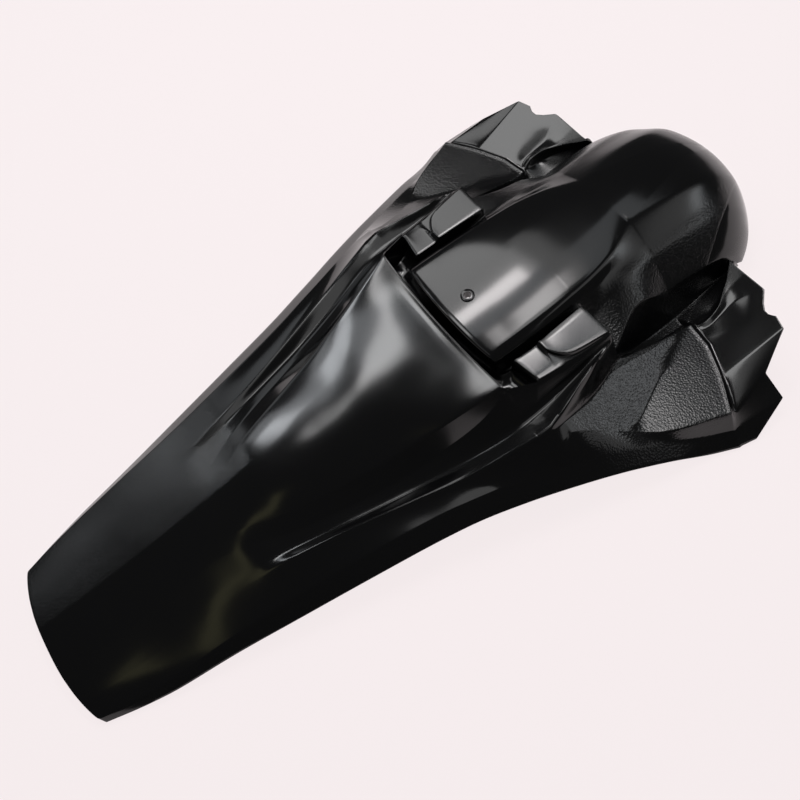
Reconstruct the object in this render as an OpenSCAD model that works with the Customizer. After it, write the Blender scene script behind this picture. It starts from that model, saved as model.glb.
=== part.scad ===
// Motorcycle rear fender: one hollow moulding for a small off-road bike.
// +X points to the front of the bike, +Y to its left, Z up from the table that it lies on.

/* [Overall] */
// Length from the tail edge to the front of the wheel dome (mm)
overall_length = 675; // [640:5:720]
// Width across the lower corners of the side lips (mm)
overall_width = 402; // [380:2:424]
// Height of the dome top above the table (mm)
overall_height = 82; // [78:1:90]

/* [Moulding] */
// Wall thickness all over (mm)
wall = 2.8; // [2.4:0.1:3.2]
// Depth of the cross channel behind the wheel dome (mm)
channel_depth = 16; // [12:1:18]
// Height of the front seat pads above the rear ones (mm)
pad_step = 3.5; // [2.5:0.5:5]
// Height of the turned lip along both sides (mm)
lip_height = 9; // [7:0.5:11]

/* [Fastening] */
// Diameter of the seat screw hole in the dome (mm)
screw_hole = 6; // [5:0.1:6.8]
// Diameter of the raised ring round that hole (mm)
screw_ring = 11; // [10:0.5:13]

/* [Hidden] */
// The tracks are drawn at this nominal size and then fitted to the overall one
nominal = [675, 402, 82];
// Stations along the length, from the tail edge to the end of the side wings
panel_end = 380.5;
slot_end = 403;
front_pad = 424;
pad_front = 467.5;
wing_rear = 470;
wing_front = 539;
wing_outer_front = 508;
// Rounded tail edge and bowed channel edges
tail_bow = 8.4;
tail_corner = 2;
tail_curve = 2.6;
tail_fade = 60;
edge_bow = 3;
// Height of the rear pads above their rim, width of the step between the pads, and their rounded rear edge
rear_pad_step = 0.3;
riser_foot = 1;
pad_round = 1.4;
// Wheel dome and its round nose
dome_height = 82;
nose_centre = 575;
nose_radius = 92;
nose_base = 9;
nose_fullness = 4;
nose_roundness = 1.5;
// Seat screw
hole_x = 406.7;
ring_height = 1.2;
boss_depth = 7;
clear = 1;
bead = 0.8;
// Weight of a point's own normal beside its four neighbours'
own_share = 1.5;
// Each row of points has this many columns on either side of its middle one
last_column = 20;

// Tracks along the moulding, each as [place along it, value] pairs
centre_z = [[0, 12], [60, 16], [110, 21.5], [165, 29], [200, 36], [280, 50], [330, 61], [panel_end, 73]];
ridge_y = [[0, 17], [130, 17], [165, 23], [200, 37], [253, 50], [305, 61], [354, 71.5], [panel_end, 77.3]];
ridge_z = [[150, 26], [200, 33], [280, 45.5], [330, 60], [panel_end, 77]];
bevel_y = [[0, 30], [130, 30], [165, 38], [200, 52], [280, 70], [330, 77], [360, 81], [panel_end, 82.5]];
bevel_z = [[150, 25], [200, 29], [280, 34.5], [330, 44], [360, 58], [panel_end, 70.5]];
rail_foot_y = [[0, 44], [130, 50], [165, 56], [200, 64], [280, 80.5], [330, 90], [panel_end, 98],
    [slot_end, 98.5], [430, 97.5], [452, 95.5], [pad_front, 94]];
rail_foot_z = [[150, 25], [200, 28], [280, 31], [330, 38], [panel_end, 50], [slot_end, 54], [430, 60],
    [452, 67], [pad_front, 72]];
rail_y = [[0, 55], [130, 60], [165, 64], [200, 70], [280, 90], [330, 104], [366, 112], [391, 116],
    [slot_end, 113.5], [430, 105], [452, 99.5], [pad_front, 95.5]];
rail_z = [[150, 26], [200, 30.5], [280, 36.5], [330, 42.5], [366, 51], [391, 57], [slot_end, 60],
    [430, 66], [452, 69.5], [pad_front, 68]];
lip_y = [[0, 74.5], [26, 82], [54, 87.3], [110, 95], [167, 104.5], [226, 114.5], [287, 125.5],
    [319, 133], [351, 142.5], [385, 153.5], [418, 164.5], [453, 177.5], [490, 192],
    [wing_outer_front, 199.5]];
lip_z = [[0, 0], [54, 2.5], [110, 8.7], [167, 14], [226, 19.4], [287, 24.5], [319, 27], [351, 27],
    [385, 24.7], [418, 20], [453, 12.5], [490, 1.5], [wing_outer_front, 0.5]];
lip_band = [[0, 4.5], [100, 8.5], [165, 13], [280, 15], [452, 14], [wing_outer_front, 11.5]];
lip_rise = [[0, 0.6], [60, 0.75], [165, 1], [452, 1], [490, 1.15], [wing_outer_front, 1.15]];
valley_y = [[slot_end, 117], [430, 112.5], [452, 105.5], [pad_front, 98.8]];
wing_inner_y = [[wing_rear, 99.5], [490, 101], [511, 102.5], [wing_front, 104]];
wing_edge_y = [[slot_end, 125], [409, 127], [445, 146.5], [461, 160], [wing_outer_front, 179.4]];
dome_z = [[385, 80], [pad_front, dome_height], [wing_front, dome_height]];
crest_y = [[385, 50], [430, 50], [479, 48], [512, 41], [525, 35], [wing_front, 28]];
crest_z = [[385, 77], [479, 77.5], [wing_front, 79]];
shoulder_y = [[385, 55.6], [430, 55.6], [479, 53], [511, 50], [wing_front, 48.5]];
shoulder_z = [[385, 73.5], [430, 72.5], [479, 71.5], [511, 71], [wing_front, 69]];
moat_z = [[385, 58], [440, 61], [pad_front, 69]];
pad_inner_y = [[385, 61.5], [422, 62.5], [pad_front, 60.5]];
pad_outer_y = [[slot_end, 83], [421, 83], [front_pad, 71], [426.5, 77], [431, 83], [438, 86.5],
    [450, 88.6], [pad_front, 90.5]];
pad_rim_y = [[panel_end, 79], [slot_end, 87], [front_pad, 89.5], [pad_front, 92.5]];
pad_rim_z = [[panel_end, 76.5], [slot_end, 71.5], [front_pad, 71], [pad_front, 74.5]];
wall_top_y = [[wing_rear, 64], [511, 59], [wing_front, 57]];
wall_top_z = [[wing_rear, 57], [511, 67], [wing_front, 64]];
ledge_y = [[wing_rear, 95], [511, 77.5], [525, 78.5], [wing_front, 77]];
ledge_z = [[wing_rear, 51], [511, 57], [525, 49], [wing_front, 41]];
pit_inner_y = [[wing_rear, 96.3], [490, 93], [511, 90], [wing_front, 88]];
pit_inner_z = [[wing_rear, 46], [490, 28], [511, 18], [wing_front, 14]];
pit_outer_y = [[wing_rear, 98], [490, 98], [511, 97], [wing_front, 97]];
pit_outer_z = [[wing_rear, 45], [490, 27], [511, 17], [wing_front, 13]];

// Corners of the two flat faces of a side wing, which meet in a fold
wing_top = [468, 100, 43];
fold_top = [526.5, 105.8, 24.5];
fold_foot = [445, 146.5, 25.5];
wing_corner = [508, 179.4, 25.5];
// Columns of a wing: its inner edge, the one that follows the fold, and its outer edge
wing_inner_column = 13;
fold_column = 16;
wing_outer_column = 18;
// How far forward each of those columns ends
wing_end_x = [[wing_inner_column, wing_front], [fold_column, 535.4], [17, 523.5],
    [wing_outer_column, wing_outer_front]];

// Front outline: round the nose of the dome by angle, then along a notched ear to the outer lip
nose_angles = [0, 8, 16, 24, 32, 40, 45, 50, 54.5, 59, 63];
ear_outline = [[606, 84, 20], [600, 85, 31], [595, 85, 42], [592, 123, 43], [577, 137, 41],
    [581, 146, 44.5], [577, 157, 42], [547, 172.5, 27], [552, 190, 11.5], [518, 200, 0.5]];
// The top of an ear is flat: its height at the end of the wing, and how it rises forward and outward
ear_start = [541.5, 104, 20.5];
ear_rise = [0.36, 0.2];
ear_gap = 2.5;

// Stations
panel_stations = [0, 8, 20, 35, 50, 70, 90, 110, 130, 145, 155, 165, 175, 190, 210, 230, 250, 270, 290, 310,
    330, 350, 368];
pad_stations = [408, 415, 421.5, front_pad, 426.5, 431, 438, 450, pad_front];
wing_steps = [0, 0.1, 0.2, 0.35, 0.5, 0.65, 0.8, 0.93, 1];
nose_steps = [0.2, 0.4, 0.58, 0.72, 0.83, 0.91, 0.965, 1];

function mix(a, b, t) = a + (b - a) * t;
function smooth(t) = let (s = max(0, min(1, t))) s * s * (3 - 2 * s);
function at(x, ys, zs) = [lookup(x, ys), lookup(x, zs)];
function between(a, b, steps) = [for (t = steps) mix(a, b, t)];
function plane_z(p, q, r, x, y) =
    let (n = cross(q - p, r - p))
    p.z - (n.x * (x - p.x) + n.y * (y - p.y)) / n.z;
function wing_z(x, y) =
    max(plane_z(wing_top, fold_foot, fold_top, x, y), plane_z(fold_top, fold_foot, wing_corner, x, y));
function lip_start(x) = at(x, lip_y, lip_z) + [-lookup(x, lip_band), lip_height * lookup(x, lip_rise)];

// Half sections, from the middle out to the lip edge, as [y, z] of each column
function panel_side(x) =
    [for (t = [0.16, 0.33, 0.5, 0.66, 0.78, 0.89])
        mix(at(x, rail_y, rail_z), lip_start(x), t) - [0, 2 * sin(180 * t) * smooth((x - 200) / 80)]];
function wing_y(k, x, inner, outer) =
    let (
        line = mix(fold_foot.y, fold_top.y, (x - fold_foot.x) / (fold_top.x - fold_foot.x)),
        fold = max(mix(inner, outer, 0.3), min(mix(inner, outer, 0.85), line))
    )
    k < fold_column ? mix(inner, fold, (k - wing_inner_column) / (fold_column - wing_inner_column))
    : mix(fold, outer, (k - fold_column) / (wing_outer_column - fold_column));
function wing_side(x) =
    [for (k = [wing_inner_column:wing_outer_column])
        let (y = wing_y(k, x, lookup(x, valley_y), lookup(x, wing_edge_y)))
        [y, wing_z(x, y)]];
function side_half(x) =
    let (blend = smooth((x - panel_end) / (slot_end - panel_end)))
    concat(
        [at(x, rail_foot_y, rail_foot_z), at(x, rail_y, rail_z)],
        blend == 0 ? panel_side(x) : mix(panel_side(x), wing_side(x), blend),
        [lip_start(x), at(x, lip_y, lip_z)]
    );
function raised_half(x) =
    let (ridge = at(x, ridge_y, ridge_z), foot = at(x, bevel_y, bevel_z), mid = lookup(x, centre_z))
    concat(
        [[0, mid],
        [ridge.x * 0.38, mix(mid, ridge.y, 0.12)],
        [ridge.x * 0.72, mix(mid, ridge.y, 0.48)],
        ridge],
        between(ridge, foot, [0.14, 0.28, 0.42, 0.56, 0.7, 0.85, 1]),
        side_half(x)
    );
function crown_z(x, y) =
    let (edge = lip_start(x), top = lookup(x, centre_z))
    top - (top - edge.y) * pow(min(1, y / edge.x), 2.2);
function panel_half(x) =
    let (raised = raised_half(x), relief = smooth((x - 150) / 40))
    [for (k = [0:last_column])
        k > last_column - 2 ? raised[k]
        : [raised[k].x, mix(crown_z(x, raised[k].x), raised[k].y, relief)]];
function dome_top(x) =
    let (crest = at(x, crest_y, crest_z), mid = lookup(x, dome_z))
    [[0, mid],
    [crest.x * 0.36, mid - 0.1],
    [crest.x * 0.72, mix(mid, crest.y, 0.4)],
    crest,
    at(x, shoulder_y, shoulder_z)];
function pad_half(x) =
    let (
        inner = lookup(x, pad_inner_y),
        outer = lookup(x, pad_outer_y),
        front = x >= front_pad,
        step = front ? pad_step * mix(1, 0.45, (x - front_pad) / (pad_front - front_pad)) : rear_pad_step,
        rim = at(x, pad_rim_y, pad_rim_z),
        top = rim.y + step
    )
    concat(
        dome_top(x),
        [[inner - 2.8, lookup(x, moat_z)],
        [inner - 1, lookup(x, moat_z)],
        [inner + 0.4, top],
        front ? [outer, top] : [mix(inner, outer, 0.5), top],
        front ? [min(outer + riser_foot, rim.x - 0.5), rim.y + rear_pad_step] : [outer, top],
        rim],
        side_half(x)
    );

// Rows of [x, y, z] points across half of the moulding
function bow(y, depth, half) = depth * max(0, 1 - pow(y / half, 2));
function tail_x(x, y) =
    let (corner = pow(max(0, y - 65) / 12.5, 2))
    x + (corner * tail_corner - tail_bow + tail_bow * pow(y / 68, tail_curve)) * max(0, 1 - x / tail_fade);
function panel_row(x) = [for (p = panel_half(x)) [tail_x(x, p.x), p.x, p.y]];
function panel_edge_row() =
    let (section = panel_half(panel_end))
    [for (k = [0:last_column]) [panel_end - bow(section[k].x, edge_bow, 77.3), section[k].x, section[k].y]];
channel_z = lookup(panel_end, centre_z) - channel_depth;
slot_corner_y = lookup(panel_end, ridge_y) * 0.957;
function channel_rear_row() =
    let (
        edge = panel_edge_row(),
        side = side_half(panel_end + 2),
        rim = at(panel_end + 2, pad_rim_y, pad_rim_z)
    )
    [for (k = [0:last_column])
        k < 10 ? [edge[k].x + 2, k < 4 ? edge[k].y * 0.957 : slot_corner_y + 0.35 * (k - 3), channel_z]
        : k == 10 ? [panel_end + 2, rim.x, rim.y]
        : [panel_end + 2, side[k - 11].x, side[k - 11].y]];
channel_front = [383, 383.4, 384.6, 387, 388.5, 390, 398, 400, 401.5, 403.2, 403.7];
channel_side = [393, 403, 405.5];
function channel_front_row(level) =
    let (section = pad_half(slot_end), x_shift = [0, 0.7, 2.3][level], drop = level == 1 ? pad_round : 0)
    [for (k = [0:last_column])
        let (x = k < 11 ? channel_front[k] + x_shift : channel_side[level], side = side_half(x))
        k == 10 ? concat([x], at(x, pad_rim_y, pad_rim_z))
        : k > 10 ? [x, side[k - 11].x, side[k - 11].y]
        : [x, section[k].x, level > 0 ? section[k].y - drop : channel_z]];
function pad_row(x) = [for (p = pad_half(x)) [x, p.x, p.y]];
function wing_x(k, u) =
    mix(wing_rear, lookup(k, wing_end_x) - 2 * max(0, k - wing_outer_column), u);
function wing_row(u) =
    let (
        x = wing_x(0, u),
        top = dome_top(x),
        high = at(x, wall_top_y, wall_top_z),
        low = at(x, ledge_y, ledge_z),
        inner = lookup(x, wing_inner_y),
        outer = lookup(wing_x(wing_outer_column, u), wing_edge_y),
        edge = u == 1 ? bead : 0
    )
    [for (k = [0:last_column])
        let (
            place = wing_x(k, u),
            y = wing_y(k, place, inner, outer),
            p = k < 5 ? top[k]
                : k < 11 ? mix(high, low, (k - 5) / 5)
                : k == 11 ? at(x, pit_inner_y, pit_inner_z)
                : k == 12 ? at(x, pit_outer_y, pit_outer_z)
                : k <= wing_outer_column ? [y, wing_z(place, y) + edge]
                : k < last_column ? lip_start(place) : at(place, lip_y, lip_z)
        )
        [place, p.x, p.y]];
function ear_face(k, p) =
    k < wing_inner_column || k >= wing_outer_column ? p
    : [p.x, p.y, ear_start.z + ear_rise.x * (p.x - ear_start.x) + ear_rise.y * (p.y - ear_start.y)];
function ear_row() =
    let (edge = wing_row(1))
    [for (k = [0:last_column]) ear_face(k, edge[k] + [ear_gap, 0, 0])];
function front_end(k) =
    k < 11 ? [nose_centre + nose_radius * cos(nose_angles[k]), nose_radius * sin(nose_angles[k]), nose_base]
    : ear_outline[k - 11];
function nose_row(t) =
    let (start = ear_row(), arch = pow(1 - pow(t, nose_fullness), 1 / nose_roundness))
    [for (k = [0:last_column])
        let (end = front_end(k), p = mix(start[k], end, t))
        k < 11 ? [p.x, p.y, end.z + (start[k].z - end.z) * arch] : ear_face(k, p)];

half_rows = concat(
    [for (x = panel_stations) panel_row(x)],
    [panel_edge_row(), channel_rear_row(), channel_front_row(0), channel_front_row(1), channel_front_row(2)],
    [for (x = pad_stations) pad_row(x)],
    [for (u = wing_steps) wing_row(u)],
    [ear_row()],
    [for (t = nose_steps) nose_row(t)]
);

// Whole outer face, then the inner one at the wall thickness under it
function fit(p) =
    [p.x * overall_length / nominal.x, p.y * overall_width / nominal.y, p.z * overall_height / nominal.z];
outer_face = [for (row = half_rows)
    concat(
        [for (k = [last_column:-1:1]) fit([row[k].x, -row[k].y, row[k].z])],
        [for (k = [0:last_column]) fit(row[k])]
    )];
row_count = len(outer_face);
column_count = 2 * last_column + 1;
last_row = row_count - 1;
last_place = column_count - 1;
function unit(v) = v / norm(v);
normals = [for (i = [0:last_row])
    [for (k = [0:last_place])
        let (
            along = outer_face[min(i + 1, last_row)][k] - outer_face[max(i - 1, 0)][k],
            across = outer_face[i][min(k + 1, last_place)] - outer_face[i][max(k - 1, 0)]
        )
        unit(cross(along, across))]];
// Each normal is averaged with its neighbours', so that the inner face turns tight edges without folding over
function soft(field) =
    [for (i = [0:last_row])
        [for (k = [0:last_place])
            unit(field[i][k] * own_share + field[max(i - 1, 0)][k] + field[min(i + 1, last_row)][k]
                + field[i][max(k - 1, 0)] + field[i][min(k + 1, last_place)])]];
soft_normals = soft(soft(normals));
inner_face = [for (i = [0:last_row])
    [for (k = [0:last_place]) outer_face[i][k] - wall * soft_normals[i][k]]];

// The part stands with its lowest point at Z = 0 and the middle of its length at X = 0
all_points = concat([for (row = outer_face) each row], [for (row = inner_face) each row]);
low_x = min([for (p = all_points) p.x]);
high_x = max([for (p = all_points) p.x]);
low_z = min([for (p = all_points) p.z]);
screw_x = hole_x * overall_length / nominal.x;
screw_top = lookup(hole_x, dome_z) * overall_height / nominal.z;

// Faces of the closed shell
function spot(i, k, inside) = (inside ? row_count * column_count : 0) + i * column_count + k;
function pair(a, b, c, d) = [[a, b, c], [a, c, d]];
function skin(inside) =
    [for (i = [0:row_count - 2])
        for (k = [0:column_count - 2])
            let (
                a = spot(i, k, inside),
                b = spot(i + 1, k, inside),
                c = spot(i + 1, k + 1, inside),
                d = spot(i, k + 1, inside),
                faces = k < last_column ? pair(a, b, c, d) : pair(b, c, d, a)
            )
            for (f = faces) inside ? f : [f[2], f[1], f[0]]];
function end_strip(i, flip) =
    [for (k = [0:column_count - 2])
        for (f = pair(spot(i, k, false), spot(i, k + 1, false), spot(i, k + 1, true), spot(i, k, true)))
            flip ? [f[2], f[1], f[0]] : f];
function side_strip(k, flip) =
    [for (i = [0:row_count - 2])
        for (f = pair(spot(i, k, false), spot(i + 1, k, false), spot(i + 1, k, true), spot(i, k, true)))
            flip ? f : [f[2], f[1], f[0]]];
module shell() {
    polyhedron(
        points = all_points,
        faces = concat(
            skin(false),
            skin(true),
            end_strip(0, true),
            end_strip(row_count - 1, false),
            side_strip(0, true),
            side_strip(column_count - 1, false)
        ),
        convexity = 8
    );
}

// Raised ring of the seat screw, with the screw's clearance hole through ring and dome
module screw_boss() {
    translate([screw_x, 0, screw_top - boss_depth])
        cylinder(d = screw_ring, h = boss_depth + ring_height, $fn = 64);
}
module screw_bore() {
    translate([screw_x, 0, screw_top - boss_depth - clear])
        cylinder(d = screw_hole, h = boss_depth + ring_height + 2 * clear, $fn = 64);
}

// The one moulding
module fender() {
    color("#17181a")
        translate([-(low_x + high_x) / 2, 0, -low_z])
            difference() {
                union() {
                    shell();
                    screw_boss();
                }
                screw_bore();
            }
}

fender();
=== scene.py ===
import bpy
import math
from mathutils import Matrix, Vector


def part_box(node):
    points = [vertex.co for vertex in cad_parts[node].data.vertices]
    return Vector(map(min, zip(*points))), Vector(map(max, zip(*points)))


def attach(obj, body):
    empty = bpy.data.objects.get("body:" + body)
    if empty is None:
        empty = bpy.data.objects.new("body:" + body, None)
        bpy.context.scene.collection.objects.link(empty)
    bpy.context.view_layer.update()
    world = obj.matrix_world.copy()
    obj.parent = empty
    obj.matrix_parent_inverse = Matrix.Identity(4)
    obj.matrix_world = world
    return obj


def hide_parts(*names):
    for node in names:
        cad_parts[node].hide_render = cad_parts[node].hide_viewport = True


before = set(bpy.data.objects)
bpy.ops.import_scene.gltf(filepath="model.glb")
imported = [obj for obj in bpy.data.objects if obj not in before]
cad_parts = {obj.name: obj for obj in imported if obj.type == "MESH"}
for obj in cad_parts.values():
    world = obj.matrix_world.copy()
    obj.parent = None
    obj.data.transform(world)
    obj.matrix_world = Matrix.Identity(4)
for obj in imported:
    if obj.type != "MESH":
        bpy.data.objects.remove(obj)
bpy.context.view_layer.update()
print("frame loaded")

# Camera, at the photograph's angle
shot = {
    "place": (-0.0969, -0.3392, 0.6570),
    "right": (0.80722, -0.56318, -0.17668),
    "up": (0.57626, 0.68718, 0.44239),
    "lens": 40.5,
    "sensor": 36,
    "clip": (0.01, 50),
}
rightWay, upWay = Vector(shot["right"]), Vector(shot["up"])
backWay = rightWay.cross(upWay).normalized()
turn = Matrix((rightWay, upWay, backWay)).transposed().to_4x4()
bpy.ops.object.camera_add()
camera = bpy.context.object
camera.name = "camera"
camera.matrix_world = Matrix.Translation(shot["place"]) @ turn
camera.data.lens = shot["lens"]
camera.data.sensor_width = shot["sensor"]
camera.data.clip_start, camera.data.clip_end = shot["clip"]
bpy.context.scene.camera = camera
bpy.context.scene.view_settings.view_transform = "Standard"
print("camera placed")


def selectOnly(piece):
    if bpy.context.object and bpy.context.object.mode == "EDIT":
        bpy.ops.object.mode_set(mode="OBJECT")
    bpy.ops.object.select_all(action="DESELECT")
    piece.select_set(True)
    bpy.context.view_layer.objects.active = piece


def finishWith(piece, kind, **settings):  # adds one modifier and applies it
    selectOnly(piece)
    bpy.ops.object.modifier_add(type=kind)
    modifier = piece.modifiers[-1]
    for name, value in settings.items():
        setattr(modifier, name, value)
    bpy.ops.object.modifier_apply(modifier=modifier.name)


# The moulding. Sizes are in millimetres from the tail edge, the mirror plane and the ground, as on a drawing
moulding = {
    "wall": 2.8,
    "shiftX": -329.3,
    "shiftZ": 1.717,
    "panelEnd": 380.5,
    "padBreak": 424,
    "padFront": 467.5,
    "wingRear": 470,
    "channelDepth": 16,
    "padStep": 3.5,
    "lipHeight": 9,
    "tailBow": 8.4,
    "tailCorner": 2,
    "tailCurve": 2.6,
    "tailFade": 60,
    "tailHalf": 68,
    "tailCornerStart": 65,
    "tailCornerWidth": 12.5,
    "crownFall": 2.2,
    "reliefStart": 150,
    "reliefLength": 40,
    "sideSag": 0.8,
    "sagStart": 200,
    "sagLength": 80,
    "edgeBow": 3,
    "edgeHalf": 77.3,
    "bowFade": 8,
    "bevelTip": 0.35,
    "bevelFade": 12,
    "channelRun": 2,
    "channelTaper": 0.957,
    "channelFan": 0.35,
    "padRear": 403,
    "padTaper": 0.45,
    "padFoot": 2.8,
    "padWall": 1,
    "padEdge": 0.4,
    "rimGap": 0.5,
    "noseCentre": 575,
    "noseRadius": 92,
    "noseBase": 9,
    "noseFullness": 4,
    "noseRoundness": 1.5,
    "bead": 0.8,
    "earGap": 2.5,
    "rearPadStep": 0.3,
    "riserFoot": 1,
    "floorSink": 4,
    "rimCrease": 0.75,
    "smoothAngle": 40,
}
tracks = {
    "centreZ": [(0, 12), (60, 16), (110, 21.5), (165, 29), (200, 36), (280, 50), (330, 61), (380.5, 73)],
    "ridgeY": [(0, 17), (130, 17), (165, 23), (200, 37), (253, 50), (305, 61), (354, 71.5), (380.5, 77.3)],
    "ridgeZ": [(150, 26), (200, 33), (280, 45.5), (330, 60), (380.5, 77)],
    "bevelY": [(0, 30), (130, 30), (165, 38), (200, 52), (280, 70), (330, 77), (360, 81), (380.5, 82.5)],
    "bevelZ": [(150, 25), (200, 29), (280, 34.5), (330, 44), (360, 58), (380.5, 70.5)],
    "railFootY": [(0, 44), (130, 50), (165, 56), (200, 64), (280, 80.5), (330, 90), (380.5, 98), (403, 98.5),
                  (430, 97.5), (452, 95.5), (467.5, 94)],
    "railFootZ": [(150, 25), (200, 28), (280, 31), (330, 38), (380.5, 50), (403, 54), (430, 60), (452, 67),
                  (467.5, 72)],
    "railY": [(0, 55), (130, 60), (165, 64), (200, 70), (280, 90), (330, 104), (366, 112), (391, 116),
              (403, 113.5), (430, 105), (452, 99.5), (467.5, 95.5)],
    "railZ": [(150, 26), (200, 30.5), (280, 36.5), (330, 42.5), (366, 51), (391, 57), (403, 60), (430, 66),
              (452, 69.5), (467.5, 68)],
    "lipY": [(0, 74.5), (26, 82), (54, 87.3), (110, 95), (167, 104.5), (226, 114.5), (287, 125.5), (319, 133),
             (351, 142.5), (385, 153.5), (418, 164.5), (453, 177.5), (490, 192), (508, 199.5)],
    "lipZ": [(0, 0), (54, 2.5), (110, 8.7), (167, 14), (226, 19.4), (287, 24.5), (319, 27), (351, 27),
             (385, 24.7), (418, 20), (453, 12.5), (490, 1.5), (508, 0.5)],
    "lipBand": [(0, 4.5), (100, 8.5), (165, 13), (280, 15), (452, 14), (508, 11.5)],
    "lipRise": [(0, 0.6), (60, 0.75), (165, 1), (452, 1), (490, 1.15), (508, 1.15)],
    "valleyY": [(403, 117), (430, 112.5), (452, 105.5), (467.5, 98.8)],
    "wingInnerY": [(470, 99.5), (490, 101), (511, 102.5), (539, 104)],
    "wingEdgeY": [(403, 125), (409, 127), (445, 146.5), (461, 160), (508, 179.4)],
    "domeZ": [(385, 80), (467.5, 82), (539, 82)],
    "crestY": [(385, 50), (430, 50), (479, 48), (512, 41), (525, 35), (539, 28)],
    "crestZ": [(385, 77), (479, 77.5), (539, 79)],
    "shoulderY": [(385, 55.6), (430, 55.6), (479, 53), (511, 50), (539, 48.5)],
    "shoulderZ": [(385, 73.5), (430, 72.5), (479, 71.5), (511, 71), (539, 69)],
    "moatZ": [(385, 58), (440, 61), (467.5, 69)],
    "padInnerY": [(385, 61.5), (422, 62.5), (467.5, 60.5)],
    "padOuterY": [(403, 83), (421, 83), (423.9, 70), (424, 71), (426.5, 77), (431, 83), (438, 86.5),
                  (450, 88.6), (467.5, 90.5)],
    "padRimY": [(380.5, 79), (403, 87), (424, 89.5), (467.5, 92.5)],
    "padRimZ": [(380.5, 76.5), (403, 71.5), (424, 71), (467.5, 74.5)],
    "wallTopY": [(470, 64), (511, 59), (539, 57)],
    "wallTopZ": [(470, 57), (511, 67), (539, 64)],
    "ledgeY": [(470, 95), (511, 77.5), (525, 78.5), (539, 77)],
    "ledgeZ": [(470, 51), (511, 57), (525, 49), (539, 41)],
    "pitInnerY": [(470, 96.3), (490, 93), (511, 90), (539, 88)],
    "pitInnerZ": [(470, 46), (490, 28), (511, 18), (539, 14)],
    "pitOuterY": [(470, 98), (490, 98), (511, 97), (539, 97)],
    "pitOuterZ": [(470, 45), (490, 27), (511, 17), (539, 13)],
}
wingFaces = {
    "top": Vector((468, 100, 43)),
    "foldTop": Vector((526.5, 105.8, 24.5)),
    "foldFoot": Vector((445, 146.5, 25.5)),
    "corner": Vector((508, 179.4, 25.5)),
    "innerColumn": 13,
    "foldColumn": 16,
    "outerColumn": 18,
    "endX": [(13, 539), (16, 535.4), (17, 523.5), (18, 508)],
}
frontEdge = {
    "noseAngles": (0, 8, 16, 24, 32, 40, 45, 50, 54.5, 59, 63),
    "ear": ((606, 84, 20), (600, 85, 31), (595, 85, 42), (592, 123, 43), (577, 137, 40.8), (581, 146, 44),
            (577, 157, 44), (547, 172.5, 32), (552, 190, 11.5), (518, 200, 0.5)),
    "earStart": Vector((541.5, 104, 20.5)),
    "earRise": (0.36, 0.2),
    "ribY": [(541.5, 107.5), (550, 110.5), (563, 108), (573, 101.5), (584, 94), (595, 85)],
    "footY": [(541.5, 104.5), (553, 106.5), (569, 103), (578, 97.5), (587, 90.5), (600, 85)],
    "ribHeight": 0.9,
    "wallHeight": 7,
    "beadFoot": 2.4,
    "valley": 4.5,
    "valleyDepth": 0.9,
    "valleyTurn": (1.15, 0.15),
    "footHold": 6,
    "wallEase": 3,
    "ribStart": 6,
    "ribEnd": (0.85, 4),
}
lastColumn = 20


def mix(a, b, t):
    return a + (b - a) * t


def smooth(t):
    s = max(0, min(1, t))
    return s * s * (3 - 2 * s)


def straight(x, track):
    for (x0, v0), (x1, v1) in zip(track, track[1:]):
        if x <= x1:
            return mix(v0, v1, max(0, (x - x0) / (x1 - x0)))
    return track[-1][1]


def flow(x, track):  # a curve through the track's points that never overshoots them
    if x <= track[0][0] or x >= track[-1][0]:
        return straight(x, track)
    steps = [(b[1] - a[1]) / (b[0] - a[0]) for a, b in zip(track, track[1:])]
    spans = [b[0] - a[0] for a, b in zip(track, track[1:])]
    slopes = [steps[0]]
    for i in range(1, len(steps)):
        before, after = steps[i - 1], steps[i]
        if before * after <= 0:
            slopes.append(0)
        else:
            w1, w2 = 2 * spans[i] + spans[i - 1], spans[i] + 2 * spans[i - 1]
            slopes.append((w1 + w2) / (w1 / before + w2 / after))
    slopes.append(steps[-1])
    i = next(k for k, (a, b) in enumerate(zip(track, track[1:])) if x <= b[0])
    (x0, v0), (x1, v1) = track[i], track[i + 1]
    h = x1 - x0
    t = (x - x0) / h
    return ((1 + 2 * t) * (1 - t) ** 2 * v0 + t * (1 - t) ** 2 * h * slopes[i]
            + t * t * (3 - 2 * t) * v1 + t * t * (t - 1) * h * slopes[i + 1])


def read(name, x):
    return flow(x, tracks[name])


def point(name, x):
    return Vector((read(name + "Y", x), read(name + "Z", x)))


def planeHeight(p, q, r, x, y):
    n = (q - p).cross(r - p)
    return p.z - (n.x * (x - p.x) + n.y * (y - p.y)) / n.z


def wingHeight(x, y):
    w = wingFaces
    return max(planeHeight(w["top"], w["foldFoot"], w["foldTop"], x, y),
               planeHeight(w["foldTop"], w["foldFoot"], w["corner"], x, y))


def wingPlace(k, x, inner, outer):
    w = wingFaces
    line = mix(w["foldFoot"].y, w["foldTop"].y, (x - w["foldFoot"].x) / (w["foldTop"].x - w["foldFoot"].x))
    fold = max(mix(inner, outer, 0.3), min(mix(inner, outer, 0.85), line))
    if k < w["foldColumn"]:
        return mix(inner, fold, (k - w["innerColumn"]) / (w["foldColumn"] - w["innerColumn"]))
    return mix(fold, outer, (k - w["foldColumn"]) / (w["outerColumn"] - w["foldColumn"]))


def lipStart(x):
    return point("lip", x) + Vector((-read("lipBand", x), moulding["lipHeight"] * read("lipRise", x)))


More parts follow.
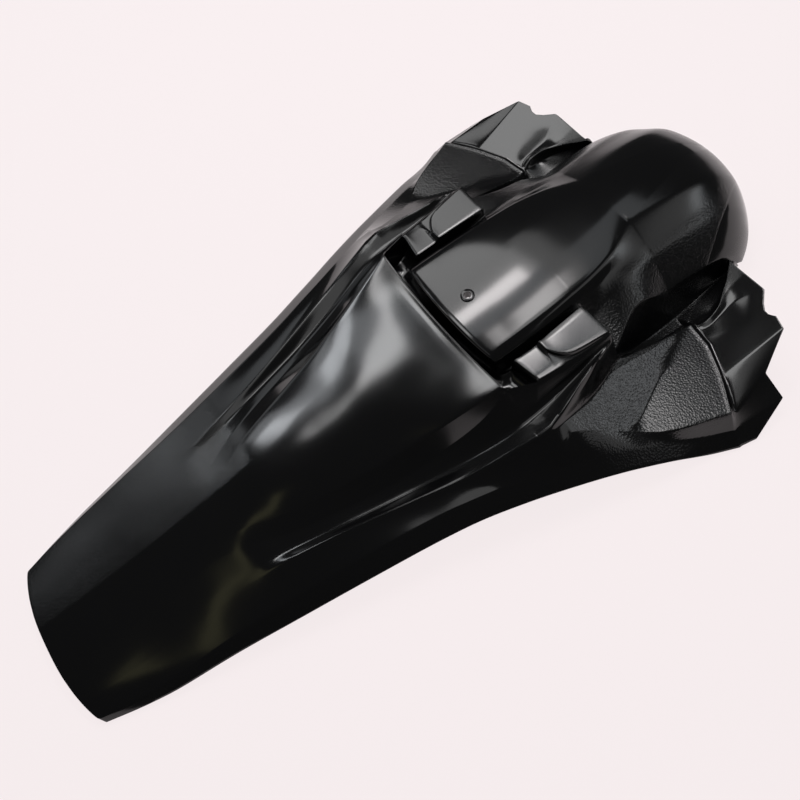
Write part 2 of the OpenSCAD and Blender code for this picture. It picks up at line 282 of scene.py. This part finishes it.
# Places of the columns as shares of the way, from rail to lip, from ridge to foot of the bevel, from the
# middle to the ridge (across and up) and from the middle to the dome's crest. The dip is in millimetres
sideShares = (0.16, 0.33, 0.5, 0.66, 0.78, 0.89)
bevelShares = (0.14, 0.28, 0.42, 0.56, 0.7, 0.85, 1)
panelShares = ((0, 0), (0.38, 0.12), (0.72, 0.48))
domeShares = {"inner": 0.36, "outer": 0.72, "fall": 0.4, "dip": 0.1}


def panelSide(x):
    m, rail, lip = moulding, point("rail", x), lipStart(x)
    sag = m["sideSag"] * smooth((x - m["sagStart"]) / m["sagLength"])
    return [mix(rail, lip, t) - Vector((0, math.sin(math.pi * t) * sag)) for t in sideShares]


def wingSide(x):
    section = []
    for k in range(wingFaces["innerColumn"], wingFaces["outerColumn"] + 1):
        y = wingPlace(k, x, read("valleyY", x), read("wingEdgeY", x))
        section.append(Vector((y, wingHeight(x, y))))
    return section


def sideHalf(x):
    blend = smooth((x - moulding["panelEnd"]) / (moulding["padRear"] - moulding["panelEnd"]))
    side = panelSide(x)
    if blend > 0:
        side = [mix(a, b, blend) for a, b in zip(side, wingSide(x))]
    return [point("railFoot", x), point("rail", x)] + side + [lipStart(x), point("lip", x)]


def raisedHalf(x):
    ridge, foot, mid = point("ridge", x), point("bevel", x), read("centreZ", x)
    section = [Vector((ridge.x * across, mix(mid, ridge.y, up))) for across, up in panelShares] + [ridge]
    return section + [mix(ridge, foot, t) for t in bevelShares] + sideHalf(x)


def panelHalf(x):
    m, section, edge, top = moulding, raisedHalf(x), lipStart(x), read("centreZ", x)
    relief = smooth((x - m["reliefStart"]) / m["reliefLength"])  # the panel grows out of the plain tail
    for p in section[: lastColumn - 1]:
        crown = top - (top - edge.y) * min(1, p.x / edge.x) ** m["crownFall"]
        p.y = mix(crown, p.y, relief)
    return section


def domeTop(x):
    crest, mid = point("crest", x), read("domeZ", x)
    share = domeShares
    return [Vector((0, mid)), Vector((crest.x * share["inner"], mid - share["dip"])),
            Vector((crest.x * share["outer"], mix(mid, crest.y, share["fall"]))), crest, point("shoulder", x)]


def padHalf(x, front):
    m, inner, outer = moulding, read("padInnerY", x), read("padOuterY", x)
    low, rim, floor = m["rearPadStep"], point("padRim", x), read("moatZ", x)
    along = max(0, x - m["padBreak"]) / (m["padFront"] - m["padBreak"])
    top = rim.y + (m["padStep"] * mix(1, m["padTaper"], along) if front else low)
    pads = [(inner - m["padFoot"], floor), (inner - m["padWall"], floor), (inner + m["padEdge"], top)]
    if front:
        pads += [(outer, top), (min(outer + m["riserFoot"], rim.x - m["rimGap"]), rim.y + low)]
    else:
        pads += [(mix(inner, outer, 0.5), top), (outer, top)]
    return domeTop(x) + [Vector(p) for p in pads] + [rim] + sideHalf(x)


def panelRow(x):
    m, row = moulding, []
    for p in panelHalf(x):
        corner = m["tailCorner"] * (max(0, p.x - m["tailCornerStart"]) / m["tailCornerWidth"]) ** 2
        bow = corner - m["tailBow"] + m["tailBow"] * (p.x / m["tailHalf"]) ** m["tailCurve"]
        row.append(Vector((x + bow * max(0, 1 - x / m["tailFade"]), p.x, p.y)))
    return row


def panelEdgeRow(back=0):
    m, x, row = moulding, moulding["panelEnd"] - back, []
    section, near = panelHalf(x), mix(m["bevelTip"], 1, smooth(back / m["bevelFade"]))
    for k, p in enumerate(section):
        q = mix(section[3], p, near) if 3 < k < 11 else p  # the bevel narrows to a point at the slot
        bow = m["edgeBow"] * max(0, 1 - (q.x / m["edgeHalf"]) ** 2)
        row.append(Vector((x - bow * (1 - back / m["bowFade"]), q.x, q.y)))
    return row


def channelFloor():
    return read("centreZ", moulding["panelEnd"]) - moulding["channelDepth"]


def channelRearRow():
    m, x = moulding, moulding["panelEnd"] + moulding["channelRun"]
    edge, side, rim = panelEdgeRow(), sideHalf(x), point("padRim", x)
    corner, row = read("ridgeY", m["panelEnd"]) * m["channelTaper"], []
    for k, p in enumerate(edge[:10]):
        y = p.y * m["channelTaper"] if k < 4 else corner + m["channelFan"] * (k - 3)
        row.append(Vector((p.x + m["channelRun"], y, channelFloor())))
    return row + [Vector((x, rim.x, rim.y))] + [Vector((x, p.x, p.y)) for p in side]


channelFrontX = (383, 383.4, 384.6, 387, 388.5, 390, 398, 400, 401.5, 403.2, 403.7)
channelSteps = ({"x": 0, "side": 393, "drop": 0}, {"x": 0.5, "side": 403, "drop": 1.1},
                {"x": 1.6, "side": 404, "drop": 0.2}, {"x": 2.4, "side": 405, "drop": 0})


def channelFrontRow(level):
    section, row, place = padHalf(moulding["padRear"], False), [], channelSteps[level]
    for k in range(lastColumn + 1):
        x = channelFrontX[k] + place["x"] if k < 11 else place["side"]
        if k == 10:
            p = point("padRim", x)
        elif k > 10:
            p = sideHalf(x)[k - 11]
        else:
            p = Vector((section[k].x, section[k].y - place["drop"] if level else channelFloor()))
        row.append(Vector((x, p.x, p.y)))
    return row


def padRow(x, front):
    return [Vector((x, p.x, p.y)) for p in padHalf(x, front)]


def wingX(k, u):
    front = straight(k, wingFaces["endX"]) - 2 * max(0, k - wingFaces["outerColumn"])
    return mix(moulding["wingRear"], front, u)


def wingRow(u, bead=0):
    x = wingX(0, u)
    top, high, low = domeTop(x), point("wallTop", x), point("ledge", x)
    inner, outer = read("wingInnerY", x), read("wingEdgeY", wingX(wingFaces["outerColumn"], u))
    row = []
    for k in range(lastColumn + 1):
        place = wingX(k, u)
        if k < 5:
            p = top[k]
        elif k < 11:
            p = mix(high, low, (k - 5) / 5)
        elif k < 13:
            p = point("pitInner" if k == 11 else "pitOuter", x)
        elif k < 19:
            y = wingPlace(k, place, inner, outer)
            p = Vector((y, wingHeight(place, y) + bead))
        else:
            p = lipStart(place) if k == 19 else point("lip", place)
        row.append(Vector((place, p.x, p.y)))
    return row


def earPlane(x, y):
    start, rise = frontEdge["earStart"], frontEdge["earRise"]
    return start.z + rise[0] * (x - start.x) + rise[1] * (y - start.y)


def earPoint(k, p, t):  # the flat top of an ear, with a rib along its inner side and a wall under the rib
    f, q = frontEdge, p.copy()
    if k == 18:
        q.z -= f["beadFoot"] * (1 - t)
    if k < 12 or k > 17:
        return q
    if k == 12:
        q.y = mix(straight(q.x, f["footY"]), p.y, t ** f["footHold"])
        low = earPlane(q.x, q.y) - f["wallHeight"] * smooth(t * f["wallEase"])
        q.z = mix(low, p.z, t ** f["footHold"])
        return q
    if k == 13:
        q.y = straight(q.x, f["ribY"])
    if k == 14:
        beside, (pace, delay) = straight(q.x, f["ribY"]) + f["valley"], f["valleyTurn"]
        q.y = mix(beside, p.y, smooth(t * pace - delay))
    q.z = earPlane(q.x, q.y)
    end, pace = f["ribEnd"]
    fade = smooth(t * f["ribStart"]) * smooth((end - t) * pace)
    if k == 13:
        q.z += f["ribHeight"] * fade
    if k == 14:
        q.z -= f["valleyDepth"] * fade
    return q


def earRow():
    return [earPoint(k, p + Vector((moulding["earGap"], 0, 0)), 0)
            for k, p in enumerate(wingRow(1, moulding["bead"]))]


def noseRow(t):
    m, row = moulding, []
    arch = (1 - t ** m["noseFullness"]) ** (1 / m["noseRoundness"])
    for k, start in enumerate(earRow()):
        if k < 11:
            a = math.radians(frontEdge["noseAngles"][k])
            end = Vector((m["noseCentre"] + m["noseRadius"] * math.cos(a), m["noseRadius"] * math.sin(a),
                          m["noseBase"]))
            p = mix(start, end, t)
            p.z = end.z + (start.z - end.z) * arch
        else:
            p = earPoint(k, mix(start, Vector(frontEdge["ear"][k - 11]), t), t)
        row.append(p)
    return row


def bridgeRows(a, b, shares):
    return [[mix(p, q, t) for p, q in zip(a, b)] for t in shares]


# Rounding of the lines that run along the moulding, in millimetres, by column; any other column is smooth
rounding = {
    "tail": {19: 2, 20: 1},
    "panel": {3: 4, 10: 4, 11: 5, 12: 4, 19: 1.8, 20: 1},
    "pad": {3: 4, 4: 2.5, 5: 1, 6: 1, 7: 1.3, 8: 1, 9: 1.5, 10: 3, 11: 5, 12: 5, 13: 3, 16: 1.5, 18: 1.2,
            19: 1.8, 20: 1},
    "wing": {3: 5, 4: 3, 5: 3, 10: 1, 11: 3, 12: 1.5, 13: 1.5, 16: 1.5, 18: 1.2, 19: 1.8, 20: 1},
    "nose": {4: 5, 10: 2, 11: 1.5, 12: 1, 13: 1.5, 14: 2.5, 15: 1, 16: 1, 17: 1.5, 18: 1.5, 19: 1.2, 20: 1},
}
supports = {3: 3, 4: 3, 5: 1, 6: 2, 7: 3, 8: 3, 9: 3, 10: 3, 11: 3, 12: 3, 13: 3, 14: 3, 16: 3, 17: 3,
            18: 3, 19: 3, 20: 1}
between = {"reach": 1.2, "share": 0.33, "most": 0.36, "tiny": 1e-6}  # how the points between columns are set


def fineRow(row, kind):  # adds a point on one side (1 or 2) or both sides (3) of each line that needs one
    rounds, fine = rounding[kind], []
    for k, p in enumerate(row):
        fine.append(p)
        if k == lastColumn:
            break
        q = row[k + 1]
        length = (q - p).length
        startWay = (q - row[k - 1]) / 2 if k and k not in rounds else q - p
        endWay = (row[k + 2] - p) / 2 if k + 2 <= lastColumn and k + 1 not in rounds else q - p
        if k == 0:
            startWay = Vector((0, (q - p).y, 0))
        limit, tiny = length * between["reach"], between["tiny"]
        startWay = startWay * min(1, limit / max(startWay.length, tiny))
        endWay = endWay * min(1, limit / max(endWay.length, tiny))
        for near, wanted in ((k, supports.get(k, 0) & 2), (k + 1, supports.get(k + 1, 0) & 1)):
            if not wanted:
                continue
            share = between["share"]
            if near in rounds:
                share = min(between["most"], rounds[near] / max(length, tiny))
            t = share if near == k else 1 - share
            fine.append((1 + 2 * t) * (1 - t) ** 2 * p + t * (1 - t) ** 2 * startWay
                        + t * t * (3 - 2 * t) * q + t * t * (t - 1) * endWay)
    return fine


# Places of the rows: x in millimetres, or shares of the way to the next named row
places = {
    "tail": (0, 1.5, 5, 12, 22, 34, 46, 60, 74, 88, 102, 116, 130, 140),
    "panel": (148, 155, 162, 170, 178, 187, 197, 208, 219, 230, 241, 252, 263, 274, 285, 296, 307, 318, 329,
              340, 350, 359),
    "behindEdge": (8, 4, 1.2, 0),
    "channelRear": (0.07, 0.5, 0.93),
    "channelFloor": (0.3, 0.7),
    "channelFront": (0.07, 0.5, 0.95),
    "rearPad": (408, 412, 417, 420.4, 421.6),
    "frontPad": (423.9, 424.8, 426.5, 428.5, 431, 434.5, 438, 443, 449, 456, 462, 466),
    "wingStart": (0.3, 0.75),
    "wing": (0.025, 0.08, 0.16, 0.26, 0.36, 0.46, 0.56, 0.66, 0.76, 0.86, 0.94, 0.975),
    "earGap": (0.35, 0.75),
    "nose": (0.04, 0.12, 0.22, 0.32, 0.42, 0.51, 0.59, 0.66, 0.72, 0.78, 0.83, 0.87, 0.905, 0.935, 0.96,
             0.978, 0.99, 1),
}


def mouldingRows():
    rows = [("tail", panelRow(x)) for x in places["tail"]]
    rows += [("panel", panelRow(x)) for x in places["panel"]]
    rows += [("panel", panelEdgeRow(back)) for back in places["behindEdge"]]
    edge, rear = panelEdgeRow(), channelRearRow()
    low, high, over, top = [channelFrontRow(level) for level in range(4)]
    rows += [("pad", r) for r in bridgeRows(edge, rear, places["channelRear"]) + [rear]]
    sunk = bridgeRows(rear, low, places["channelFloor"])
    for r in sunk:
        for p in r[:10]:
            p.z -= moulding["floorSink"]
    rows += [("pad", r) for r in sunk + [low]]
    rows += [("pad", r) for r in bridgeRows(low, high, places["channelFront"]) + [high, over, top]]
    rows += [("pad", padRow(x, False)) for x in places["rearPad"]]
    rows += [("pad", padRow(x, True)) for x in places["frontPad"]]
    front, rearWing = padRow(moulding["padFront"], True), wingRow(0)
    start = bridgeRows(front, rearWing, places["wingStart"])
    rows += [("pad", front)] + [("wing", r) for r in start + [rearWing]]
    rows += [("wing", wingRow(u)) for u in places["wing"]]
    rim, ear = wingRow(1, moulding["bead"]), earRow()
    rows += [("wing", r) for r in [rim] + bridgeRows(rim, ear, places["earGap"])] + [("nose", ear)]
    rows += [("nose", noseRow(t)) for t in places["nose"]]
    return [fineRow(row, kind) for kind, row in rows]


rows = mouldingRows()
halfCount = len(rows[0])
bpy.ops.mesh.primitive_grid_add(x_subdivisions=len(rows) - 1, y_subdivisions=2 * halfCount - 2, size=1)
fender = bpy.context.object
fender.name = "fenderMoulding"
ranks = sorted({round(v.co.x, 5) for v in fender.data.vertices})
files = sorted({round(v.co.y, 5) for v in fender.data.vertices})
rankOf = {x: i for i, x in enumerate(ranks)}
fileOf = {y: i for i, y in enumerate(files)}
for v in fender.data.vertices:
    i, j = rankOf[round(v.co.x, 5)], fileOf[round(v.co.y, 5)] - (halfCount - 1)
    p = rows[i][abs(j)]
    side = 1 if j >= 0 else -1
    v.co = Vector((p.x + moulding["shiftX"], side * p.y, p.z + moulding["shiftZ"])) / 1000
finishWith(fender, "SOLIDIFY", thickness=moulding["wall"] / 1000, offset=-1,
           edge_crease_rim=moulding["rimCrease"])
finishWith(fender, "SUBSURF", levels=1, render_levels=1)
lowCorner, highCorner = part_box("fender")
for v in fender.data.vertices:  # the smoothed edges stay inside the drawn size
    v.co = Vector([max(low, min(high, c)) for c, low, high in zip(v.co, lowCorner, highCorner)])
print("moulding made:", len(fender.data.polygons), "faces")

# Ring and clearance hole of the seat screw
screw = {
    "x": 406.7 + moulding["shiftX"],
    "ring": 11,
    "hole": 6,
    "top": 80.53 + moulding["shiftZ"],
    "rise": 1.2,
    "depth": 7,
    "rounding": 0.5,
    "steps": 3,
    "drill": 30,
    "sides": 64,
}
ringHeight = screw["rise"] + screw["depth"]
bpy.ops.mesh.primitive_cylinder_add(
    vertices=screw["sides"], radius=screw["ring"] / 2000, depth=ringHeight / 1000,
    location=(screw["x"] / 1000, 0, (screw["top"] + screw["rise"] - ringHeight / 2) / 1000))
ring = bpy.context.object
ring.name = "screwRing"
bpy.ops.object.transform_apply(location=True, rotation=True, scale=True)
finishWith(ring, "BEVEL", width=screw["rounding"] / 1000, segments=screw["steps"], limit_method="ANGLE")
bpy.ops.mesh.primitive_cylinder_add(
    vertices=screw["sides"], radius=screw["hole"] / 2000, depth=screw["drill"] / 1000,
    location=(screw["x"] / 1000, 0, screw["top"] / 1000))
drill = bpy.context.object
drill.name = "drill"
bpy.ops.object.transform_apply(location=True, rotation=True, scale=True)
finishWith(fender, "BOOLEAN", object=ring, operation="UNION", solver="EXACT")
finishWith(fender, "BOOLEAN", object=drill, operation="DIFFERENCE", solver="EXACT")
for tool in (ring, drill):
    bpy.data.objects.remove(tool)
selectOnly(fender)
bpy.ops.object.shade_smooth_by_angle(angle=math.radians(moulding["smoothAngle"]))
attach(fender, "root")
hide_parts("fender")
print("screw ring cut")


class Value:  # a number in a material, as a node's socket or a plain figure
    def __init__(self, tree, socket):
        self.tree, self.socket = tree, socket

    def join(self, other, operation, swap=False):
        node = self.tree.nodes.new("ShaderNodeMath")
        node.operation = operation
        pair = [other, self] if swap else [self, other]
        for slot, item in zip(node.inputs, pair):
            if isinstance(item, Value):
                self.tree.links.new(item.socket, slot)
            else:
                slot.default_value = item
        return Value(self.tree, node.outputs[0])

    def __add__(self, other): return self.join(other, "ADD")
    def __radd__(self, other): return self.join(other, "ADD", True)
    def __sub__(self, other): return self.join(other, "SUBTRACT")
    def __rsub__(self, other): return self.join(other, "SUBTRACT", True)
    def __mul__(self, other): return self.join(other, "MULTIPLY")
    def least(self, other): return self.join(other, "MINIMUM")
    def size(self): return self.join(0.0, "ABSOLUTE")
    def most(self, other): return self.join(other, "MAXIMUM")


class Finish:  # one material and the ways to add nodes to it
    def __init__(self, name):
        self.material = bpy.data.materials.new(name)
        self.material.use_nodes = True
        self.tree = self.material.node_tree
        self.shader = self.tree.nodes["Principled BSDF"]

    def add(self, kind, settings=None, **sockets):
        node = self.tree.nodes.new(kind)
        for name, value in (settings or {}).items():
            setattr(node, name, value)
        for name, value in sockets.items():
            self.feed(node.inputs[name.replace("_", " ")], value)
        return node

    def feed(self, slot, value):
        if isinstance(value, Value):
            self.tree.links.new(value.socket, slot)
        elif isinstance(value, bpy.types.NodeSocket):
            self.tree.links.new(value, slot)
        else:
            slot.default_value = value

    def ease(self, value, low, high):  # 0 below low, 1 above high
        node = self.add("ShaderNodeMapRange", {"interpolation_type": "SMOOTHSTEP"},
                        Value=value, From_Min=low, From_Max=high)
        return Value(self.tree, node.outputs["Result"])


plastic = {
    "black": (0.0035, 0.0035, 0.0039, 1),
    "gloss": 0.11,
    "satin": 0.19,
    "mottle": 0.1,
    "grainScale": 1100,
    "grainRoughness": 0.55,
    "grainDepth": 0.00013,
    "speckScale": 620,
    "speckSoftness": 0.4,
    "waveScale": 15,
    "waveShare": 8,
    "satinMost": 2.0,
    "satinShares": {"shoulder": 0.8, "pit": 2},
    "fineShares": {"shoulder": 0.3, "wing": 0.25},
    "coarseShares": {"wall": 1.4, "wing": 0.9, "tail": 0.5},
}
# Ends of the grained places, in metres from the origin and the mirror plane. A pair is a place and how softly
# it ends. A sloped line is a start along x, its place across there, and how fast that moves
grained = {
    "tailFront": (-0.125, 0.012),
    "tailMiddle": (0.014, 0.004),
    "crestRear": (0.1827, 0.042, 0.85),
    "crestFront": (0.1957, 0.031, 0.25),
    "crestMost": 0.052,
    "edge": 0.002,
    "shoulderRear": (0.1, 0.05),
    "shoulderFoot": (0.205, 0.105, 0.6),
    "wallTop": (0.0735, 0.012),
    "wingRear": (0.075, 0.015),
    "wingInner": (0.099, 0.004),
    "wingOuter": (0.1815, 0.003),
    "wingFront": (0.2095, 0.104, 5.2),
    "wingFrontSoft": 0.003,
    "wingCorner": (0.0737, 0.1172, 0.285),
    "pitRear": (0.19, 0.02),
    "pitOuter": (0.104, 0.004),
    "pitInner": (0.06, 0.01),
    "pitTop": (0.045, 0.01),
}


def above(value, name):
    place, soft = grained[name]
    return black.ease(value - place, 0.0, soft)


def below(value, name):
    place, soft = grained[name]
    return black.ease(place - value, 0.0, soft)


def sloped(value, start, across, pace):
    return across - (value - start) * pace


black = Finish("glossBlack")
here = black.add("ShaderNodeTexCoord").outputs["Object"]
apart = black.add("ShaderNodeSeparateXYZ", Vector=here)
x, y, z = [Value(black.tree, apart.outputs[i]) for i in range(3)]
side = y.size()
# Grained places: the left of the tail, the dome's shoulders with the walls under them, and the wing faces.
# The pits in front of the seat pads are rough but plain
tailGrain = below(x, "tailFront") * above(y, "tailMiddle")
crestFront = sloped(x, *grained["crestFront"])
crestLine = sloped(x, *grained["crestRear"]).most(crestFront).least(grained["crestMost"])
start, across, pace = grained["shoulderFoot"]
footLine = across - (x - start).most(0.0) * pace
shoulder = (black.ease(side - crestLine, 0.0, grained["edge"]) * above(x, "shoulderRear")
            * black.ease(footLine - side, 0.0, grained["edge"]))
wallDepth = below(z, "wallTop") * shoulder
front, middle, bend = grained["wingFront"]
frontLine = front - (side - middle).most(0.0) * (side - middle) * bend
wing = (above(x, "wingRear") * above(side, "wingInner") * below(side, "wingOuter")
        * black.ease(frontLine - x, 0.0, grained["wingFrontSoft"])
        * black.ease(side - sloped(x, *grained["wingCorner"]), 0.0, grained["edge"]))
pit = above(x, "pitRear") * below(side, "pitOuter") * above(side, "pitInner") * below(z, "pitTop")
grain = black.add("ShaderNodeTexNoise", Vector=here, Scale=plastic["grainScale"], Detail=3.0,
                  Roughness=plastic["grainRoughness"])
pebble = black.add("ShaderNodeTexVoronoi", {"feature": "SMOOTH_F1"}, Vector=here,
                   Scale=plastic["speckScale"], Smoothness=plastic["speckSoftness"])
fine = Value(black.tree, grain.outputs["Fac"])
coarse = Value(black.tree, pebble.outputs["Distance"])
share = plastic["satinShares"]
satin = (tailGrain + shoulder * share["shoulder"] + wing + pit * share["pit"]).least(plastic["satinMost"])
rough = (plastic["gloss"] + satin * (plastic["satin"] - plastic["gloss"])
         + (fine - 0.5) * satin * plastic["mottle"])
share = plastic["fineShares"]
finePart = fine * (tailGrain + shoulder * share["shoulder"] + wallDepth + wing * share["wing"])
share = plastic["coarseShares"]
coarsePart = coarse * (wallDepth * share["wall"] + wing * share["wing"] + tailGrain * share["tail"])
wave = black.add("ShaderNodeTexNoise", Vector=here, Scale=plastic["waveScale"], Detail=1.0)
height = finePart + coarsePart + Value(black.tree, wave.outputs["Fac"]) * plastic["waveShare"]
bump = black.add("ShaderNodeBump", Height=height, Distance=plastic["grainDepth"], Strength=1.0)
black.feed(black.shader.inputs["Base Color"], plastic["black"])
black.feed(black.shader.inputs["Roughness"], rough)
black.feed(black.shader.inputs["Normal"], bump.outputs["Normal"])
fender.data.materials.clear()
fender.data.materials.append(black.material)
print("material made")

# Floor, world and lamps
studio = {
    "floor": (0.975, 0.897, 0.905, 1),
    "floorSize": 12,
    "floorDrop": 0.0005,
    "glowShare": 0.9,
    "world": 0.07,
    "lamps": {  # each stands where the moulding mirrors a bright area of the photo, and faces down
        "domeBox": {"place": (0.35, 0.513, 1.0), "size": (0.26, 0.255), "turn": 0, "power": 0.68},
        "domeFar": {"place": (0.355, 0.945, 1.0), "size": (0.22, 0.61), "turn": 0, "power": 1.45},
        "domeLower": {"place": (0.39, 0.085, 1.0), "size": (0.18, 0.33), "turn": 0, "power": 0.61},
        "padBox": {"place": (0.35, 0.318, 1.0), "size": (0.26, 0.135), "turn": 0, "power": 0.21},
        "domeEdge": {"place": (0.52, 0.36, 1.0), "size": (0.08, 0.72), "turn": 0, "power": 0.26},
        "domeCore": {"place": (0.33, 0.42, 0.99), "size": (0.20, 0.12), "turn": 0, "power": 1.0},
        "domeLow": {"place": (0.40, 0.13, 0.99), "size": (0.18, 0.18), "turn": 0, "power": 0.62},
        "wingBox": {"place": (0.64, 0.13, 1.0), "size": (0.16, 0.50), "turn": 0, "power": 0.24},
        "facetBox": {"place": (1.42, -0.82, 0.99), "size": (0.50, 0.40), "turn": 0, "power": 1.5},
        "earBox": {"place": (0.01, 0.37, 1.0), "size": (0.26, 0.24), "turn": 0, "power": 1.0},
        "pocketBox": {"place": (0.02, 0.95, 1.0), "size": (0.09, 0.50), "turn": -8, "power": 0.45},
        "bandBox": {"place": (-0.07, -0.06, 1.0), "size": (0.18, 0.60), "turn": 0, "power": 0.38},
        "panelBox": {"place": (-0.41, 0.90, 1.0), "size": (0.11, 0.76), "turn": 27, "power": 0.8},
        "panelCore": {"place": (-0.31, 0.59, 0.99), "size": (0.11, 0.09), "turn": 0, "power": 0.28},
        "leftCore": {"place": (-0.46, 0.90, 0.99), "size": (0.07, 0.24), "turn": 20, "power": 0.46},
        "farBox": {"place": (-0.60, 2.00, 1.0), "size": (0.70, 1.20), "turn": 0, "power": 2.3},
        "tailBox": {"place": (-0.86, 1.25, 1.0), "size": (0.40, 0.40), "turn": 0, "power": 0.55},
        "warmBox": {"place": (-0.64, 0.20, 1.0), "size": (0.06, 0.34), "turn": -38, "power": 0.047},
        "sideBox": {"place": (1.05, -0.90, 1.0), "size": (0.90, 0.90), "turn": 0, "power": 1.8},
    },
    "cool": (0.92, 0.96, 1.0),
    "rosy": (1.0, 0.955, 0.955),
    "warm": (0.8, 0.75, 0.4),
    "tints": {"warmBox": "warm", "domeCore": "rosy", "domeLow": "rosy", "panelBox": "cool",
              "leftCore": "cool", "farBox": "cool", "tailBox": "cool", "wingBox": "cool", "facetBox": "cool",
              "padBox": "cool"},
}
bpy.ops.mesh.primitive_plane_add(size=studio["floorSize"], location=(0, 0, -studio["floorDrop"]))
floor = bpy.context.object
floor.name = "floor"
pale = Finish("paleFloor")
path = pale.add("ShaderNodeLightPath")
seen, mirrored, through = [Value(pale.tree, path.outputs[name])
                           for name in ("Is Camera Ray", "Is Glossy Ray", "Is Transmission Ray")]
glow = pale.add("ShaderNodeEmission", Color=studio["floor"], Strength=1.0)
matt = pale.add("ShaderNodeBsdfDiffuse", Color=studio["floor"])
blend = pale.add("ShaderNodeMixShader")
pale.feed(blend.inputs[0], seen.most(mirrored).most(through) * studio["glowShare"])
pale.feed(blend.inputs[1], matt.outputs[0])
pale.feed(blend.inputs[2], glow.outputs[0])
pale.tree.links.new(blend.outputs[0], pale.tree.nodes["Material Output"].inputs["Surface"])
floor.data.materials.append(pale.material)
world = bpy.data.worlds.new("studio")
bpy.context.scene.world = world
world.use_nodes = True
world.node_tree.nodes["Background"].inputs["Color"].default_value = (1, 1, 1, 1)
world.node_tree.nodes["Background"].inputs["Strength"].default_value = studio["world"]
for name, spot in studio["lamps"].items():
    bpy.ops.object.light_add(type="AREA", location=spot["place"])
    lamp = bpy.context.object
    lamp.name = name
    lamp.data.shape = "RECTANGLE"
    lamp.data.size, lamp.data.size_y = spot["size"]
    lamp.data.energy = spot["power"]
    if name in studio["tints"]:
        lamp.data.color = studio[studio["tints"][name]]
    lamp.rotation_euler.z = math.radians(spot["turn"])
print("studio lit")
